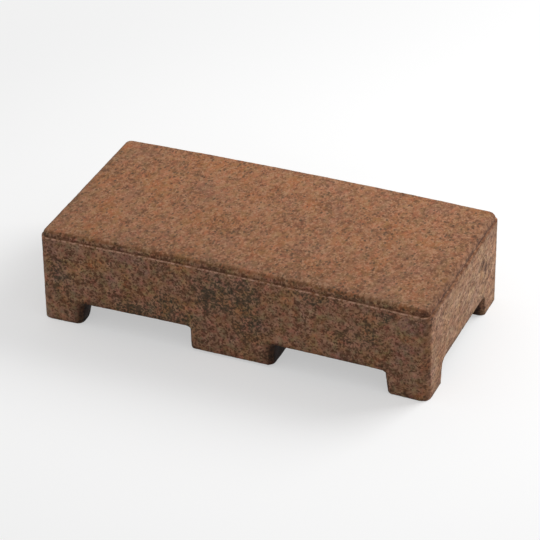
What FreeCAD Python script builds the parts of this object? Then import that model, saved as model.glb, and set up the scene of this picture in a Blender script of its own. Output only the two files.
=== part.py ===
import FreeCAD, Part
import math
import os

# Composite paver: one moulded block that stands on six short feet.
# Millimetres. The origin is the middle of the base, at floor level.
# X runs along the length, Y across the width and Z up.

# Overall size
LENGTH = 200.0
WIDTH = 100.0
HEIGHT = 49.3
CORNER_RADIUS = 4.5          # upright corners, seen from above

# Rounded top edge, and the lip of the mould's parting line below it
TOP_ROUND = 2.4
TOP_BAND = 1.0               # upright band between the round and the lip
LIP = 1.0                    # how far the sides stand out past the band

# Feet, measured at the sole
FOOT_HEIGHT = 12.5           # floor to the flat underside
CORNER_FOOT_LENGTH = 21.0    # along X
CORNER_FOOT_WIDTH = 20.0     # along Y
CORNER_FOOT_INNER_RADIUS = 14.0
CORNER_FOOT_DRAFT = 8.0      # degrees, on its two inner sides
MIDDLE_FOOT_LENGTH = 43.5    # along X
MIDDLE_FOOT_WIDTH = 20.0     # along Y
MIDDLE_FOOT_DRAFT = 2.0      # degrees, on its three inner sides
FOOT_RADIUS = 4.0            # upright corners of a foot, seen from above
FOOT_ROOT_ROUND = 2.5        # hollow round where a foot meets the underside
SOLE_ROUND = 0.6

# A foot is made this much past the sides, then trimmed flush with them
TRIM_OVERRUN = 0.3
# The plate that the feet are made on reaches this far past the sides
PLATE_OVERHANG = 10.0

LEVEL_TOLERANCE = 0.001
QUARTER_MIDDLE = math.cos(math.radians(45.0))

LIP_HEIGHT = HEIGHT - TOP_ROUND - TOP_BAND


def rounded_rectangle(x_range, y_range, z, radii):
    """Closed outline at height z. The radii start at low x and y and run anticlockwise."""
    x_low, x_high = x_range
    y_low, y_high = y_range
    corners = [(x_low, y_low, 1, 1), (x_high, y_low, -1, 1),
               (x_high, y_high, -1, -1), (x_low, y_high, 1, -1)]
    arcs = []
    for index, (x, y, inward_x, inward_y) in enumerate(corners):
        radius = radii[index]
        along_x = FreeCAD.Vector(x + inward_x * radius, y, z)
        along_y = FreeCAD.Vector(x, y + inward_y * radius, z)
        short = radius * (1.0 - QUARTER_MIDDLE)
        middle = FreeCAD.Vector(x + inward_x * short, y + inward_y * short, z)
        ends = (along_y, along_x) if index % 2 == 0 else (along_x, along_y)
        arcs.append((ends[0], middle, ends[1]))
    edges = []
    for index, (start, middle, end) in enumerate(arcs):
        next_start = arcs[(index + 1) % len(arcs)][0]
        edges.append(Part.Arc(start, middle, end).toShape())
        edges.append(Part.LineSegment(end, next_start).toShape())
    return Part.Wire(edges)


def outline_prism(inset, z_low, z_high):
    """Upright prism of the paver's outline, drawn in by the inset."""
    x_half = LENGTH / 2 - inset
    y_half = WIDTH / 2 - inset
    radius = CORNER_RADIUS - inset
    outline = rounded_rectangle((-x_half, x_half), (-y_half, y_half), z_low, [radius] * 4)
    return Part.Face(outline).extrude(FreeCAD.Vector(0, 0, z_high - z_low))


def edges_at(shape, z):
    """The edges that lie at one height."""
    return [edge for edge in shape.Edges
            if abs(edge.BoundBox.ZMin - z) < LEVEL_TOLERANCE
            and abs(edge.BoundBox.ZMax - z) < LEVEL_TOLERANCE]


def flare(draft):
    """How far a side with this draft has moved out by the foot's root."""
    return FOOT_HEIGHT * math.tan(math.radians(draft))


def drafted_foot(sole, root):
    """Solid between the outline of a foot's sole and that of its root."""
    return Part.makeLoft([sole, root], True, True)


def corner_foot():
    """The foot at high x and low y. It widens upwards on its two inner sides."""
    x_outer = LENGTH / 2 + TRIM_OVERRUN
    y_outer = -WIDTH / 2 - TRIM_OVERRUN
    x_inner = LENGTH / 2 - CORNER_FOOT_LENGTH
    y_inner = -WIDTH / 2 + CORNER_FOOT_WIDTH
    longest_radius = min(CORNER_FOOT_LENGTH, CORNER_FOOT_WIDTH) - FOOT_RADIUS
    radii = [FOOT_RADIUS, CORNER_RADIUS, FOOT_RADIUS, min(CORNER_FOOT_INNER_RADIUS, longest_radius)]
    widening = flare(CORNER_FOOT_DRAFT)
    sole = rounded_rectangle((x_inner, x_outer), (y_outer, y_inner), 0, radii)
    root = rounded_rectangle((x_inner - widening, x_outer), (y_outer, y_inner + widening),
                             FOOT_HEIGHT, radii)
    return drafted_foot(sole, root)


def middle_foot():
    """The foot half way along the side at low y. It widens upwards on three sides."""
    x_half = MIDDLE_FOOT_LENGTH / 2
    y_outer = -WIDTH / 2 - TRIM_OVERRUN
    y_inner = -WIDTH / 2 + MIDDLE_FOOT_WIDTH
    radii = [FOOT_RADIUS] * 4
    widening = flare(MIDDLE_FOOT_DRAFT)
    sole = rounded_rectangle((-x_half, x_half), (y_outer, y_inner), 0, radii)
    root = rounded_rectangle((-x_half - widening, x_half + widening),
                             (y_outer, y_inner + widening), FOOT_HEIGHT, radii)
    return drafted_foot(sole, root)


def mirrored(shape, normal):
    """The shape's mirror image across the upright middle plane with this normal."""
    return shape.mirror(FreeCAD.Vector(0, 0, 0), normal)


def all_feet():
    """Four corner feet, and a middle foot on each long side."""
    across_x = FreeCAD.Vector(1, 0, 0)
    across_y = FreeCAD.Vector(0, 1, 0)
    front = [corner_foot(), mirrored(corner_foot(), across_x), middle_foot()]
    back = [mirrored(foot, across_y) for foot in front]
    return front + back


def footed_plate():
    """An oversize plate at slab height, on its feet, with hollow rounds at their roots."""
    x_size = LENGTH + 2 * PLATE_OVERHANG
    y_size = WIDTH + 2 * PLATE_OVERHANG
    corner = FreeCAD.Vector(-x_size / 2, -y_size / 2, FOOT_HEIGHT)
    plate = Part.makeBox(x_size, y_size, LIP_HEIGHT - FOOT_HEIGHT, corner)
    joined = plate.multiFuse(all_feet())
    roots = [edge for edge in edges_at(joined, FOOT_HEIGHT)
             if abs(edge.CenterOfMass.x) < x_size / 2 - LEVEL_TOLERANCE
             and abs(edge.CenterOfMass.y) < y_size / 2 - LEVEL_TOLERANCE]
    return joined.makeFillet(FOOT_ROOT_ROUND, roots)


def body():
    """The slab and its feet up to the lip, trimmed to the outline."""
    trimmed = footed_plate().common(outline_prism(0, 0, LIP_HEIGHT))
    return trimmed.makeFillet(SOLE_ROUND, edges_at(trimmed, 0))


def cap():
    """The top of the slab, drawn in by the lip and rounded at its upper edge."""
    block = outline_prism(LIP, LIP_HEIGHT, HEIGHT)
    return block.makeFillet(TOP_ROUND, edges_at(block, HEIGHT))


def paver():
    """The whole paver as one solid."""
    whole = body().fuse(cap()).removeSplitter()
    return whole.Solids[0]


os.makedirs("parts", exist_ok=True)
paver().exportStep("parts/paver.step")
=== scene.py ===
"""A moulded composite paver: a low slab on six short feet, on a pale studio floor.

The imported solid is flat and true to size. The skin that stands for it is the same shape
with a fine grid over it, the slight crown of the real moulding along its length, the
granular relief of the pressed composite, and a lip that is a little broken.

The shape is in metres. The material works in millimetres, as its grains are about one.
"""

import math

import bmesh
import bpy
from mathutils import Matrix, Vector, noise


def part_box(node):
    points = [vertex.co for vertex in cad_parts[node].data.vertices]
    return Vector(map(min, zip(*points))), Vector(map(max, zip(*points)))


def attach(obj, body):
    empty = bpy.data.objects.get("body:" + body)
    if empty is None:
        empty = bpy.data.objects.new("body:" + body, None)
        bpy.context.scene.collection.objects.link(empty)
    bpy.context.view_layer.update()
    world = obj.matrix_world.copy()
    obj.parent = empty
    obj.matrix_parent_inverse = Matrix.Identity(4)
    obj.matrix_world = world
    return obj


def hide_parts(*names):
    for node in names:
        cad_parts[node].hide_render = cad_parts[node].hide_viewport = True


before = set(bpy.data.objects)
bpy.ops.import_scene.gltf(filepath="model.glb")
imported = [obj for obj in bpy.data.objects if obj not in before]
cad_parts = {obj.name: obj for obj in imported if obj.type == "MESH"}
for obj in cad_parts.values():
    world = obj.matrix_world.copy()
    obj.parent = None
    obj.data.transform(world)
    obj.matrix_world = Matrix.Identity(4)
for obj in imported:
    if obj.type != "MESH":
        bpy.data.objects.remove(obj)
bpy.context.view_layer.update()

NODE = "paver"
LOW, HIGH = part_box(NODE)
HALF_LENGTH = (HIGH.x - LOW.x) / 2
HALF_WIDTH = (HIGH.y - LOW.y) / 2
TOP = HIGH.z

MM = 0.001
CORNER_RADIUS = 4.5 * MM    # upright corners, seen from above
LIP_LEVEL = 45.9 * MM       # height of the lip around the slab

# the skin's grid
GRID = 1.05 * MM                    # keeps the skin under 200,000 triangles
FLAT_ANGLE = math.radians(0.4)      # faces nearer to level than this count as one
CREASE_ANGLE = math.radians(34)     # edges sharper than this aren't smoothed
CUT_REACH = 1e-7                    # a plane cuts no nearer to a vertex than this
SAME_POINT = 1e-6
SLIVER = 1e-5                       # vertices nearer than this are merged after the cuts
LIP_REACH = 0.35 * MM               # how near the lip's edge a vertex counts as on it
WALL_REACH = 0.2 * MM               # how near the outline a vertex counts as on the sides

# the skin's relief
CROWN = 1.2 * MM            # the middle stands this much higher than the ends
GRAIN_DEPTH = 0.09 * MM
PIT_DEPTH = 0.22 * MM
PIT_THRESHOLD = 0.38        # of a noise from -1 to 1: the part above it is a pit
CHIP_DEPTH = 0.45 * MM
CHIP_THRESHOLD = 0.05
CHIP_INWARD = 0.5           # a chip goes down by its depth, and in by this share of it

# the same sizes in millimetres, for the material
LIP = LIP_LEVEL / MM
END_X = HALF_LENGTH / MM
SIDE_Y = HALF_WIDTH / MM
FOOT_HEIGHT = 12.5
MIDDLE_FOOT_END = 21.5      # where a middle foot ends along X
CORNER_FOOT_END = -79.0     # where a corner foot at the -X end does

# darker patches on the long side that faces the photograph: centre along X and Z,
# reach along X and Z in millimetres, and strength
FRONT_STAINS = (
    (-9, 33, 11, 9, 0.85),
    (8, 38, 7, 8, 0.9),
    (9, 20, 8, 8, 0.7),
    (-35, 23, 8, 6, 0.8),
    (-49, 15, 9, 5, 1.25),
    (-23, 14, 6, 5, 1.2),
    (-90, 26, 5, 9, 0.7),
    (70, 28, 5, 10, 0.55),
    (78, 42, 6, 4, 0.6),
    (42, 43, 12, 4, 0.7),
    (58, 27, 5, 5, 0.4),
    (30, 6, 12, 5, 0.5),
)
# dark marks on the +X end: the same, with the centre and the reach along Y and Z
END_STAINS = (
    (30, 28, 1.6, 2.4, 5.0),
    (26, 33, 1.3, 1.9, 4.0),
    (36, 22, 1.4, 1.6, 2.4),
)
FACE_DEPTH = 1.0            # mm behind a side or an end that still counts as on it
STAIN_DRIFT = 5.0           # mm by which the edge of a front stain wanders
NOISE_SEED = 1              # without a seed, noise_vector starts from the clock
OTHER_STAINS = 0.55         # strength of the scattered stains everywhere else

# the patterns of the mix: shift into the noise, size in waves per millimetre, detail
# and roughness
GRAIN_FLOW = (1.0, 0.70, 1.0)   # the grains are drawn out a little across the paver
END_FLOW = (1.0, 0.56, 1.0)     # and a little more on the end
PATTERNS = {
    "body": ((12, 4, 30), 0.28, 5, 0.80),
    "patches": ((0, 0, 0), 0.06, 3, 0.65),
    "drift": ((20, 60, 44), 0.11, 3, 0.65),
    "flecks": ((41, 2.4, 27), 0.60, 2, 0.60),
    "bands": ((5, 21, 63), 0.15, 2, 0.60),
    "curds": ((66, 14, 8), 0.36, 3, 0.60),
    "hue": ((31, 77, 12), 0.24, 2, 0.60),
    "crowding": ((3, 51, 70), 0.055, 4, 0.65),
    "uneven": ((77, 5, 13), 0.07, 2, 0.60),
    "ragged": ((14, 9, 1), 0.45, 3, 0.70),
    # breaks up the painted highlight along the lip
    "highlight_breaks": ((2, 2, 90), 0.55, 3, 0.70),
}
FINE_GRAINS = 1.30          # grains per millimetre
COARSE_GRAINS = 0.70
PEPPER_GRAINS = 0.62
COARSE_SHIFT = (9, 33, 17)
PEPPER_SHIFT = (70, 6, 40)
WOBBLE_SCALE = 0.9          # waves per millimetre along a grain's edge
GRAIN_WOBBLE = 0.35         # mm by which the grains' edges wander
GRAIN_EDGE = (-0.02, 0.03)  # how softly a grain is chosen by its share
PEPPER_EDGE = (-0.02, 0.02)
SHADE_SLANT = 0.35          # mm along Y for each along X, where the broad shade is level

# screen colours, 0 to 255
BODY_COLOURS = (
    (0.30, (107, 67, 40)),
    (0.42, (134, 88, 57)),
    (0.50, (149, 100, 66)),
    (0.60, (160, 109, 74)),
    (0.72, (170, 120, 85)),
)
RUST = (160, 98, 50)
CLAY = (136, 94, 74)
TAN = (166, 128, 102)
LIGHT_FINE = (178, 135, 104)
LIGHT_COARSE = (180, 134, 103)
DARK_BROWN = (84, 48, 26)
BLACK_GREEN = (58, 52, 38)
PEPPER = (70, 52, 33)
# painted shade and dirt in the crease above the lip
CREASE_SHADE_AND_DIRT = (84, 50, 34)
# the painted highlight along the lip's ledge
LIP_HIGHLIGHT = (214, 166, 142)

# the studio
FLOOR_REACH = 6.0           # metres from the middle to the floor's edge
FLOOR_NEAR = 0.15           # metres from the middle where the floor starts to whiten
FLOOR_FAR = 0.80            # and where it is white
FLOOR_THROWN = 0.50         # its grey to the light it throws on the paver
FLOOR_SEEN = 0.52           # its grey to the camera, next to the paver
FLOOR_LIFT = (0.46, 0.97)   # the glow added to that, near and far
FILL_LIGHT = 0.55
KEY_PLACE = Vector((0.50, 0.52, 0.60))
KEY_AIM = Vector((0, 0, 0.03))
KEY_SIZE = 0.5              # metres along an edge
KEY_WATTS = 6.2

# the camera, as solved from the outline of the photographed paver: angles in radians
CAMERA_TURN = 0.401042      # round the upright axis
CAMERA_DOWN = 0.55503       # below level
CAMERA_ROLL = -0.010992
CAMERA_STEP = Vector((-0.5284, 17.1121, 1335.096)) * MM     # right, up and back, to the camera
FOCAL_LENGTH = 180.9582     # mm
SENSOR_WIDTH = 36           # mm


# ---------------------------------------------------------------- the skin's shape

def cut_by_planes(mesh, axis):
    """Cuts the mesh by evenly spaced planes across one axis."""
    low, high = LOW[axis], HIGH[axis]
    count = max(1, round((high - low) / GRID))
    normal = Vector((0, 0, 0))
    normal[axis] = 1
    for i in range(1, count):
        point = Vector((0, 0, 0))
        point[axis] = low + (high - low) * i / count
        geometry = mesh.verts[:] + mesh.edges[:] + mesh.faces[:]
        bmesh.ops.bisect_plane(
            mesh, geom=geometry, dist=CUT_REACH, plane_co=point, plane_no=normal
        )


def gridded_copy(source):
    """The node's mesh with its flat faces joined up and then cut into a fine grid."""
    mesh = bmesh.new()
    mesh.from_mesh(source.data)
    bmesh.ops.remove_doubles(mesh, verts=mesh.verts[:], dist=SAME_POINT)
    bmesh.ops.dissolve_limit(
        mesh, angle_limit=FLAT_ANGLE, verts=mesh.verts[:], edges=mesh.edges[:]
    )
    for axis in (0, 1, 2):
        cut_by_planes(mesh, axis)
    bmesh.ops.remove_doubles(mesh, verts=mesh.verts[:], dist=SLIVER)
    bmesh.ops.triangulate(mesh, faces=mesh.faces[:])
    return mesh


def waves(point, per_mm, shift=(0, 0, 0)):
    """Smooth noise from about -1 to 1 at a point given in millimetres."""
    return noise.noise(point * per_mm + Vector(shift))


def relief(point):
    """Height of the pressed grain at a point, in metres: a fine unevenness with a few pits."""
    p = point / MM
    fine = waves(p, 0.9) + 0.6 * waves(p, 0.45, (31, 7, 3))
    broad = 0.8 * waves(p, 0.09, (5, 40, 9))
    pits = max(0.0, waves(p, 0.55, (3, 80, 21)) - PIT_THRESHOLD) / (1 - PIT_THRESHOLD)
    return GRAIN_DEPTH * (fine + broad) - PIT_DEPTH * pits


def chip(point):
    """How deep the lip's edge is chipped at a point, in metres."""
    p = point / MM
    wear = waves(p, 0.35, (60, 2, 11)) + 0.5 * waves(p, 0.9)
    return CHIP_DEPTH * max(0.0, wear - CHIP_THRESHOLD)


def inset(point):
    """Distance from the slab's outline, seen from above, to a point inside it."""
    across = abs(point.x) - (HALF_LENGTH - CORNER_RADIUS)
    along = abs(point.y) - (HALF_WIDTH - CORNER_RADIUS)
    outside = math.hypot(max(across, 0), max(along, 0)) + min(max(across, along), 0)
    return CORNER_RADIUS - outside


def on_lip(point):
    """Whether a vertex lies on the outer edge of the lip."""
    return abs(point.z - LIP_LEVEL) < LIP_REACH and inset(point) < LIP_REACH


def patches_at(place, height, patches):
    """The summed strength of soft oval patches at a place along a face and a height."""
    return sum(
        strength * math.exp(-(((place - centre) / reach) ** 2) - ((height - rise) / tall) ** 2)
        for centre, rise, reach, tall, strength in patches
    )


def stain(point):
    """How far a point lies in one of the darker stained patches."""
    p = point / MM
    if END_X - p.x < FACE_DEPTH:
        return patches_at(p.y, p.z, END_STAINS)
    if p.y > FACE_DEPTH - SIDE_Y:
        return OTHER_STAINS * max(0.0, waves(p, 0.045, (9, 9, 2)) + 0.1)
    drift = noise.noise_vector(p * 0.12 + Vector((8, 1, 5))) * STAIN_DRIFT
    return patches_at(p.x + drift.x, p.z + drift.z, FRONT_STAINS)


def column(point):
    """The grid square, seen from above, that a point stands in."""
    return round(point.x / GRID), round(point.y / GRID)


def lower_edges(mesh):
    """The lowest height of the sides in each column: a sole, or the underside between feet."""
    lowest = {}
    for vert in mesh.verts:
        if inset(vert.co) < WALL_REACH:
            key = column(vert.co)
            lowest[key] = min(lowest.get(key, TOP), vert.co.z)
    return lowest


def record_places(mesh):
    """Keeps for the material where each vertex lies on the flat solid, in millimetres."""
    layers = mesh.verts.layers.float
    inset_layer = layers.new("inset")
    level_layer = layers.new("level")
    stain_layer = layers.new("stain")
    above_layer = layers.new("above")
    lowest = lower_edges(mesh)
    for vert in mesh.verts:
        point = vert.co
        vert[inset_layer] = inset(point) / MM
        vert[level_layer] = point.z / MM
        vert[stain_layer] = stain(point)
        vert[above_layer] = (point.z - lowest.get(column(point), 0)) / MM


def press(mesh):
    """Presses the grain, the chipped lip and the crown into the gridded mesh."""
    mesh.normal_update()
    moves = []
    for vert in mesh.verts:
        point = vert.co
        move = vert.normal * relief(point)
        if on_lip(point):
            inward = Vector((-point.x / HALF_LENGTH, -point.y / HALF_WIDTH, 0)).normalized()
            move += chip(point) * (CHIP_INWARD * inward - Vector((0, 0, 1)))
        move.z += CROWN * (1 - (point.x / HALF_LENGTH) ** 2)
        moves.append(move)
    for vert, move in zip(mesh.verts, moves):
        vert.co += move
        vert.co.z = max(vert.co.z, 0.0)


def make_skin():
    """The paver's visible mesh, as one object."""
    mesh = gridded_copy(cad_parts[NODE])
    record_places(mesh)
    press(mesh)
    data = bpy.data.meshes.new("paver_skin")
    mesh.to_mesh(data)
    mesh.free()
    for face in data.polygons:
        face.use_smooth = True
    data.set_sharp_from_angle(angle=CREASE_ANGLE)
    skin = bpy.data.objects.new("paver_skin", data)
    bpy.context.scene.collection.objects.link(skin)
    return skin


# ---------------------------------------------------------------- node helpers

def srgb(red, green, blue):
    """A colour given as 0..255 screen values, as linear light."""
    def linear(c):
        c /= 255
        return c / 12.92 if c <= 0.04045 else ((c + 0.055) / 1.055) ** 2.4
    return (linear(red), linear(green), linear(blue))


class Nodes:
    """Short calls for building one node material."""

    def __init__(self, name):
        self.material = bpy.data.materials.new(name)
        self.material.use_nodes = True
        self.tree = self.material.node_tree
        self.tree.nodes.clear()

    def add(self, kind, **settings):
        node = self.tree.nodes.new(kind)
        for key, value in settings.items():
            setattr(node, key, value)
        return node

    def put(self, socket, value):
        """Links a socket or sets its constant."""
        if isinstance(value, bpy.types.NodeSocket):
            self.tree.links.new(value, socket)
        elif isinstance(value, tuple) and len(value) == 3 and len(socket.default_value) == 4:
            socket.default_value = (*value, 1)
        else:
            socket.default_value = value

    def finish(self, shader):
        """Makes a shader the material's surface."""
        out = self.add("ShaderNodeOutputMaterial")
        self.put(out.inputs["Surface"], shader.outputs[0])
        return self.material

    def math(self, operation, a, b):
        node = self.add("ShaderNodeMath", operation=operation)
        self.put(node.inputs[0], a)
        self.put(node.inputs[1], b)
        return node.outputs[0]

    def product(self, first, *others):
        for other in others:
            first = self.math("MULTIPLY", first, other)
        return first

    def outside(self, mask):
        """Everything that a mask leaves out."""
        return self.math("SUBTRACT", 1.0, mask)

    def ramp(self, value, low, high, to_low=0.0, to_high=1.0):
        """Maps low..high smoothly to to_low..to_high."""
        node = self.add("ShaderNodeMapRange", interpolation_type="SMOOTHSTEP")
        self.put(node.inputs["Value"], value)
        self.put(node.inputs["From Min"], low)
        self.put(node.inputs["From Max"], high)
        self.put(node.inputs["To Min"], to_low)
        self.put(node.inputs["To Max"], to_high)
        return node.outputs["Result"]

    def vector_math(self, operation, vector, by):
        node = self.add("ShaderNodeVectorMath", operation=operation)
        self.put(node.inputs[0], vector)
        node.inputs[1].default_value = by
        return node.outputs[0]

    def split(self, vector):
        node = self.add("ShaderNodeSeparateXYZ")
        self.put(node.inputs[0], vector)
        return node.outputs

    def attribute(self, name):
        node = self.add("ShaderNodeAttribute", attribute_name=name)
        return node.outputs["Fac"]

    def pattern(self, name, place):
        """One of the named patterns of the mix, from 0 to 1."""
        shift, scale, detail, roughness = PATTERNS[name]
        node = self.add("ShaderNodeTexNoise")
        self.put(node.inputs["Vector"], self.vector_math("ADD", place, shift))
        node.inputs["Scale"].default_value = scale
        node.inputs["Detail"].default_value = detail
        node.inputs["Roughness"].default_value = roughness
        return node.outputs["Fac"]

    def wandering(self, place):
        """A place moved a little by noise, so that what is drawn there gets rough edges."""
        node = self.add("ShaderNodeTexNoise")
        self.put(node.inputs["Vector"], place)
        node.inputs["Scale"].default_value = WOBBLE_SCALE
        return self.mix(GRAIN_WOBBLE, place, node.outputs["Color"], "ADD")

    def grains(self, place, per_mm):
        """One random value for each grain, and the distance from the grain's middle."""
        node = self.add("ShaderNodeTexVoronoi")
        self.put(node.inputs["Vector"], place)
        node.inputs["Scale"].default_value = per_mm
        tones = self.add("ShaderNodeSeparateColor")
        self.put(tones.inputs[0], node.outputs["Color"])
        return tones.outputs[0], node.outputs["Distance"]

    def chosen(self, grain, share, edge=GRAIN_EDGE):
        """Picks about the given share of the grains."""
        return self.ramp(self.math("SUBTRACT", share, grain), *edge)

    def colours(self, value, stops):
        """A run of screen colours along a value."""
        node = self.add("ShaderNodeValToRGB")
        self.put(node.inputs[0], value)
        marks = node.color_ramp.elements
        while len(marks) < len(stops):
            marks.new(0.5)
        for mark, (place, colour) in zip(marks, stops):
            mark.position = place
            mark.color = (*srgb(*colour), 1)
        return node.outputs[0]

    def mix(self, factor, a, b, blend="MIX"):
        node = self.add("ShaderNodeMix", data_type="RGBA", blend_type=blend)
        self.put(node.inputs["Factor"], factor)
        self.put(node.inputs[6], a)
        self.put(node.inputs[7], b)
        return node.outputs[2]

    def paint(self, colour, coat, mask):
        """Covers a colour with a screen colour, as far as the mask says."""
        return self.mix(mask, colour, srgb(*coat))

    def tint(self, colour, factors, mask):
        """Multiplies a colour by factors for red, green and blue, within a mask."""
        return self.mix(mask, colour, factors, "MULTIPLY")


# ---------------------------------------------------------------- the composite

class Surface:
    """Where a point of the paver is, which faces it is on, and which grains it is in."""

    def __init__(self, n):
        coords = n.add("ShaderNodeTexCoord")
        millimetres = n.vector_math("MULTIPLY", coords.outputs["Object"], (1 / MM,) * 3)
        self.x, self.y, _ = n.split(millimetres)
        self.facing_x, self.facing_y, facing_z = n.split(coords.outputs["Normal"])
        self.place = n.vector_math("MULTIPLY", millimetres, GRAIN_FLOW)
        self.end_place = n.vector_math("MULTIPLY", millimetres, END_FLOW)

        self.inset = n.attribute("inset")
        self.level = n.attribute("level")
        self.above = n.attribute("above")
        self.stained = n.attribute("stain")

        self.side = n.ramp(facing_z, 0.75, 0.3)
        self.top = n.outside(self.side)
        self.cap = n.ramp(self.level, LIP + 0.05, LIP + 0.3)
        self.end = n.ramp(self.x, END_X - 4.0, END_X - 0.6)
        self.long_side = n.math("SUBTRACT", self.side, self.end)
        self.feet = n.ramp(self.level, FOOT_HEIGHT + 2.0, FOOT_HEIGHT - 0.5)
        self.dirty = n.ramp(n.pattern("uneven", self.place), 0.40, 0.60, 0.40, 1.0)

        rough_place = n.wandering(self.place)
        self.fine, _ = n.grains(rough_place, FINE_GRAINS)
        coarse_place = n.vector_math("ADD", rough_place, COARSE_SHIFT)
        self.coarse, _ = n.grains(coarse_place, COARSE_GRAINS)


def rust_and_clay(n, s, colour):
    """Broad patches of a rustier and of a greyer mix."""
    patches = n.pattern("patches", s.place)
    rust = n.product(n.ramp(patches, 0.50, 0.64), n.ramp(s.side, 0, 1, 0.40, 0.22))
    colour = n.paint(colour, RUST, rust)
    return n.paint(colour, CLAY, n.ramp(patches, 0.48, 0.34, 0, 0.40))


def side_drift(n, s, colour):
    """The sides drift between mauve and amber."""
    drift = n.pattern("drift", s.place)
    mauve = n.product(s.side, n.ramp(drift, 0.40, 0.56, 0.2, 1.0))
    colour = n.tint(colour, (0.98, 0.96, 1.26), mauve)
    amber = n.product(s.side, n.ramp(drift, 0.44, 0.34, 0.0, 0.6))
    return n.tint(colour, (1.14, 1.04, 0.86), amber)


def pale_end_and_painted_light(n, s, colour):
    """The +X end is paler and yellower, partly in its own tone and partly as painted light;
    painted light also makes it paler and cooler higher up and towards +Y. It is finely mottled.
    """
    # partly painted light: the end is paler and yellower, more so away from its -Y edge
    pale = n.product(s.end, n.ramp(s.y, 0.5 - SIDE_Y, 12.0 - SIDE_Y, 0.30, 0.88))
    colour = n.paint(colour, TAN, n.product(pale, 0.45))
    colour = n.tint(colour, (1.02, 1.00, 0.93), pale)
    # painted light: the end is paler and cooler higher up and towards +Y
    high = n.ramp(s.level, FOOT_HEIGHT - 0.5, FOOT_HEIGHT + 23.5)
    back = n.ramp(s.y, 4.0 - SIDE_Y, 38.0 - SIDE_Y)
    colour = n.tint(colour, (1.08, 1.14, 1.20), n.product(s.end, high, back))
    flecks = n.pattern("flecks", s.end_place)
    colour = n.tint(colour, (0.66, 0.58, 0.50), n.product(s.end, n.ramp(flecks, 0.50, 0.36)))
    colour = n.tint(colour, (1.28, 1.34, 1.40), n.product(s.end, n.ramp(flecks, 0.50, 0.64)))
    bands = n.ramp(n.pattern("bands", s.place), 0.42, 0.58, 1.0, 0.0)
    return n.tint(colour, (0.82, 0.74, 0.64), n.product(s.end, bands))


def curdled_sides(n, s, colour):
    """Small dark and pale clots on the sides."""
    curds = n.pattern("curds", s.place)
    dark = n.product(s.side, n.ramp(curds, 0.48, 0.34, 0, 0.5))
    colour = n.tint(colour, (0.54, 0.44, 0.38), dark)
    light = n.product(s.side, n.ramp(curds, 0.48, 0.66, 0, 0.85))
    return n.tint(colour, (1.42, 1.46, 1.55), light)


def hues_and_painted_sheen(n, s, colour):
    """Olive and rose patches of a few millimetres, and a painted sheen that makes the sides,
    the long sides most, cooler and paler.
    """
    hue = n.pattern("hue", s.place)
    vivid = n.math("SUBTRACT", n.ramp(s.side, 0, 1, 0.6, 1.0), n.product(s.end, 0.6))
    olive = n.product(vivid, n.ramp(hue, 0.50, 0.64))
    colour = n.tint(colour, (0.84, 1.05, 0.96), olive)
    rose = n.product(vivid, n.ramp(hue, 0.48, 0.34))
    colour = n.tint(colour, (1.15, 0.93, 0.97), rose)
    # painted sheen: the sides are lifted cooler and paler, standing in for the greyish veil
    # that light lays on them
    colour = n.tint(colour, (1.00, 1.12, 1.14), s.side)
    return n.tint(colour, (1.04, 1.11, 1.15), s.long_side)


def broad_painted_light_and_shade(n, s, colour):
    """Painted light and shade: the top is darker towards the -Y side and the +X end and lighter
    towards the +Y side and the -X end, and the long sides are darker near the +X end.
    """
    # painted light and shade across the top, and painted shade on the long sides near the +X
    # end
    slope = n.math("SUBTRACT", s.y, n.product(s.x, SHADE_SLANT))
    colour = n.tint(colour, (0.92, 0.92, 0.92), n.product(s.top, n.ramp(slope, 0.0, -60.0)))
    colour = n.tint(colour, (1.07, 1.06, 1.05), n.product(s.top, n.ramp(slope, 0.0, 45.0)))
    corner = n.product(s.long_side, n.ramp(s.x, END_X - 55.0, END_X - 8.0))
    return n.tint(colour, (0.90, 0.91, 0.92), corner)


def light_grains(n, s, colour):
    """Scattered pale grains."""
    colour = n.paint(colour, LIGHT_FINE, n.ramp(s.fine, 0.78, 0.82, 0, 0.45))
    return n.paint(colour, LIGHT_COARSE, n.ramp(s.coarse, 0.90, 0.93, 0, 0.25))


def dark_share(n, s):
    """The share of grains that are dark: more on the sides, at the rim and in the stains."""
    crowding = n.ramp(n.pattern("crowding", s.place), 0.40, 0.66, 0.0, 0.12)
    border = n.product(n.ramp(s.inset, 9.0, 2.0), s.cap)
    share = n.math("ADD", crowding, n.product(s.side, 0.05))
    share = n.math("ADD", share, n.product(border, 0.05))
    share = n.math("ADD", share, n.product(s.stained, 0.28))
    return n.math("SUBTRACT", share, n.product(s.end, 0.09))


def dark_grains(n, s, colour):
    """Dark grains of two sizes and round specks: brown, or black-green in the stains."""
    share = dark_share(n, s)
    green = n.product(n.ramp(s.stained, 0.0, 0.6), s.long_side)
    dark = n.mix(green, srgb(*DARK_BROWN), srgb(*BLACK_GREEN))
    small = n.chosen(s.fine, n.math("ADD", share, 0.11))
    colour = n.mix(n.product(small, n.ramp(s.side, 0, 1, 0.48, 0.70)), colour, dark)
    large = n.chosen(s.coarse, n.math("ADD", share, 0.02))
    colour = n.mix(n.product(large, n.ramp(s.side, 0, 1, 0.44, 0.66)), colour, dark)

    pepper_place = n.vector_math("ADD", s.place, PEPPER_SHIFT)
    speck, from_middle = n.grains(pepper_place, PEPPER_GRAINS)
    some = n.chosen(speck, n.math("ADD", share, 0.13), PEPPER_EDGE)
    pepper = n.product(some, n.ramp(from_middle, 0.42, 0.30), 0.70)
    colour = n.paint(colour, PEPPER, pepper)
    return n.mix(n.product(s.stained, 0.12), colour, dark)


def grime(n, s, colour):
    """The top is a little dirtier towards its -Y edge and its -X end."""
    near_edge = n.product(n.ramp(s.inset, 16.0, 1.0), n.ramp(s.y, 5.0, -40.0), s.top)
    far_end = n.product(n.ramp(s.x, 16.0 - END_X, 1.0 - END_X), s.top)
    dirt = n.product(n.math("MAXIMUM", near_edge, far_end), s.dirty)
    return n.tint(colour, (0.82, 0.86, 0.88), dirt)


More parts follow.
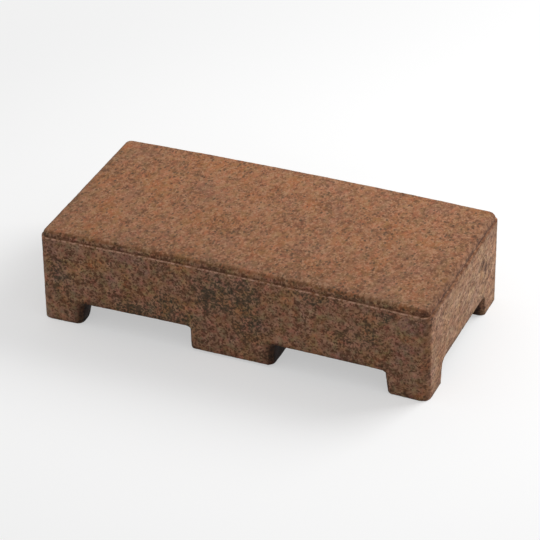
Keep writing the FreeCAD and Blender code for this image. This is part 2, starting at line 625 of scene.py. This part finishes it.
def crease(n, s, colour):
    """Painted shade and dirt in the crease above the lip, and dirt round the top of the +X end.
    """
    # painted shade and dirt: the crease above the lip is darker
    low_cap = n.product(s.cap, n.ramp(s.level, LIP + 1.7, LIP + 0.3))
    colour = n.paint(colour, CREASE_SHADE_AND_DIRT, n.product(low_cap, n.ramp(s.dirty, 0, 1, 0.20, 0.50)))
    ragged = n.ramp(n.pattern("ragged", s.place), 0.38, 0.60, 0.30, 1.0)
    from_below = n.ramp(s.level, LIP - 2.7, LIP - 0.1)
    to_top = n.ramp(s.level, LIP + 3.3, LIP + 1.1, 0.3, 1.0)
    colour = n.tint(colour, (0.52, 0.38, 0.28), n.product(s.end, from_below, to_top, ragged))
    shoulder = n.product(s.cap, n.ramp(s.facing_x, 0.04, 0.5))
    return n.tint(colour, (0.84, 0.80, 0.78), shoulder)


def painted_lip_highlight(n, s, colour):
    """A painted highlight along the lip's outer edge, broken in places."""
    # painted highlight: the lip's ledge is drawn pale, as where light catches it
    ledge = n.product(n.ramp(s.level, LIP - 0.6, LIP - 0.1),
                      n.ramp(s.level, LIP + 0.25, LIP + 0.05),
                      n.ramp(s.inset, 0.85, 0.55))
    highlight_breaks = n.ramp(n.pattern("highlight_breaks", s.place), 0.38, 0.58, 0.0, 0.85)
    return n.paint(colour, LIP_HIGHLIGHT, n.product(ledge, highlight_breaks, n.outside(s.end)))


def foot_side(n, s, foot_end):
    """The last few millimetres of a foot along the paver, and the side it turns to +X."""
    return n.product(n.ramp(s.x, foot_end - 7.0, foot_end),
                     n.ramp(s.x, foot_end + 8.0, foot_end + 4.0))


def lower_shade(n, s, colour):
    """The lower edges are darker, and the inner faces of the feet are nearly black."""
    low_edge = n.product(s.side, n.ramp(s.above, 3.2, 0, 0, 0.55))
    colour = n.tint(colour, (0.36, 0.34, 0.30), low_edge)
    inner = n.product(n.ramp(s.inset, 0.4, 3.0), s.feet, 0.94)
    colour = n.tint(colour, (0.14, 0.09, 0.05), inner)
    turned = n.math("ADD", foot_side(n, s, MIDDLE_FOOT_END), foot_side(n, s, CORNER_FOOT_END))
    return n.tint(colour, (0.30, 0.26, 0.22), n.product(turned, s.feet, 0.85))


def corner_shade(n, s, colour):
    """The round of the upright corner between the -Y side and the +X end is a little darker."""
    corner = n.product(n.ramp(s.facing_x, 0.0, 0.35), n.ramp(s.facing_x, 1.0, 0.93),
                       n.ramp(s.facing_y, -0.1, -0.3), s.side)
    return n.tint(colour, (0.80, 0.77, 0.74), corner)


def composite_material():
    """The pressed composite: its mix, then its grains, then dirt, painted light and painted
    shade.
    """
    n = Nodes("composite")
    s = Surface(n)
    body = n.pattern("body", s.place)
    colour = n.colours(body, BODY_COLOURS)
    for layer in (rust_and_clay, side_drift, pale_end_and_painted_light, curdled_sides, hues_and_painted_sheen, broad_painted_light_and_shade,
                  light_grains, dark_grains, grime, crease, painted_lip_highlight, lower_shade,
                  corner_shade):
        colour = layer(n, s, colour)

    bump = n.add("ShaderNodeBump")
    bump.inputs["Strength"].default_value = 0.5
    bump.inputs["Distance"].default_value = 0.4 * MM
    n.put(bump.inputs["Height"], n.math("ADD", body, n.product(s.fine, 0.3)))

    shader = n.add("ShaderNodeBsdfPrincipled")
    n.put(shader.inputs["Base Color"], colour)
    n.put(shader.inputs["Roughness"], n.ramp(body, 0.3, 0.7, 0.90, 0.70))
    n.put(shader.inputs["Normal"], bump.outputs[0])
    shader.inputs["Specular IOR Level"].default_value = 0.25
    shader.inputs["Sheen Weight"].default_value = 0.05
    shader.inputs["Sheen Roughness"].default_value = 0.6
    return n.finish(shader)


# ---------------------------------------------------------------- studio

def floor_material():
    """Pale to the camera and white far off, and a dull grey to the light it throws back."""
    n = Nodes("studio_floor")
    path = n.add("ShaderNodeLightPath")
    seen = n.math("MAXIMUM", path.outputs["Is Camera Ray"], path.outputs["Is Glossy Ray"])
    coords = n.add("ShaderNodeTexCoord")
    length = n.add("ShaderNodeVectorMath", operation="LENGTH")
    n.put(length.inputs[0], coords.outputs["Object"])
    away = n.ramp(length.outputs["Value"], FLOOR_NEAR, FLOOR_FAR)

    shader = n.add("ShaderNodeBsdfDiffuse")
    pale = n.mix(away, (FLOOR_SEEN,) * 3, (0.0, 0.0, 0.0))
    n.put(shader.inputs["Color"], n.mix(seen, (FLOOR_THROWN,) * 3, pale))
    lift = n.add("ShaderNodeEmission")
    n.put(lift.inputs["Strength"], n.product(seen, n.ramp(away, 0, 1, *FLOOR_LIFT)))
    both = n.add("ShaderNodeAddShader")
    n.put(both.inputs[0], shader.outputs[0])
    n.put(both.inputs[1], lift.outputs[0])
    return n.finish(both)


def make_floor():
    """A wide flat floor at the soles' height."""
    reach = FLOOR_REACH
    corners = [(-reach, -reach, 0), (reach, -reach, 0), (reach, reach, 0), (-reach, reach, 0)]
    data = bpy.data.meshes.new("studio_floor")
    data.from_pydata(corners, [], [(0, 1, 2, 3)])
    floor = bpy.data.objects.new("studio_floor", data)
    bpy.context.scene.collection.objects.link(floor)
    floor.data.materials.append(floor_material())


def make_key_light():
    """One soft lamp above the far right corner."""
    data = bpy.data.lights.new("key", "AREA")
    data.shape = "SQUARE"
    data.size = KEY_SIZE
    data.energy = KEY_WATTS
    light = bpy.data.objects.new("key", data)
    light.location = KEY_PLACE
    light.rotation_euler = (KEY_AIM - KEY_PLACE).to_track_quat("-Z", "Y").to_euler()
    bpy.context.scene.collection.objects.link(light)


def make_world():
    """White to the camera, and an even fill to everything else."""
    world = bpy.data.worlds.new("studio")
    world.use_nodes = True
    tree = world.node_tree
    tree.nodes.clear()
    path = tree.nodes.new("ShaderNodeLightPath")
    pick = tree.nodes.new("ShaderNodeMixShader")
    tree.links.new(path.outputs["Is Camera Ray"], pick.inputs[0])
    for slot, strength in ((1, FILL_LIGHT), (2, 1.0)):
        background = tree.nodes.new("ShaderNodeBackground")
        background.inputs["Color"].default_value = (1, 1, 1, 1)
        background.inputs["Strength"].default_value = strength
        tree.links.new(background.outputs[0], pick.inputs[slot])
    out = tree.nodes.new("ShaderNodeOutputWorld")
    tree.links.new(pick.outputs[0], out.inputs[0])
    bpy.context.scene.world = world


def make_camera():
    """The photograph's viewpoint: high, a little to the right, through a long lens."""
    turn = Matrix.Rotation(CAMERA_TURN, 3, "Z")
    tip = Matrix.Rotation(math.radians(90) - CAMERA_DOWN, 3, "X")
    rotation = turn @ tip @ Matrix.Rotation(CAMERA_ROLL, 3, "Z")
    place = Vector((0, 0, CROWN)) + rotation @ CAMERA_STEP
    data = bpy.data.cameras.new("camera")
    data.sensor_width = SENSOR_WIDTH
    data.lens = FOCAL_LENGTH
    data.clip_start = 0.05
    data.clip_end = 50
    camera = bpy.data.objects.new("camera", data)
    camera.matrix_world = Matrix.Translation(place) @ rotation.to_4x4()
    bpy.context.scene.collection.objects.link(camera)
    bpy.context.scene.camera = camera


noise.seed_set(NOISE_SEED)
skin = make_skin()
skin.data.materials.append(composite_material())
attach(skin, "root")
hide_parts(NODE)

make_floor()
make_world()
make_key_light()
make_camera()

bpy.context.scene.view_settings.view_transform = "Standard"
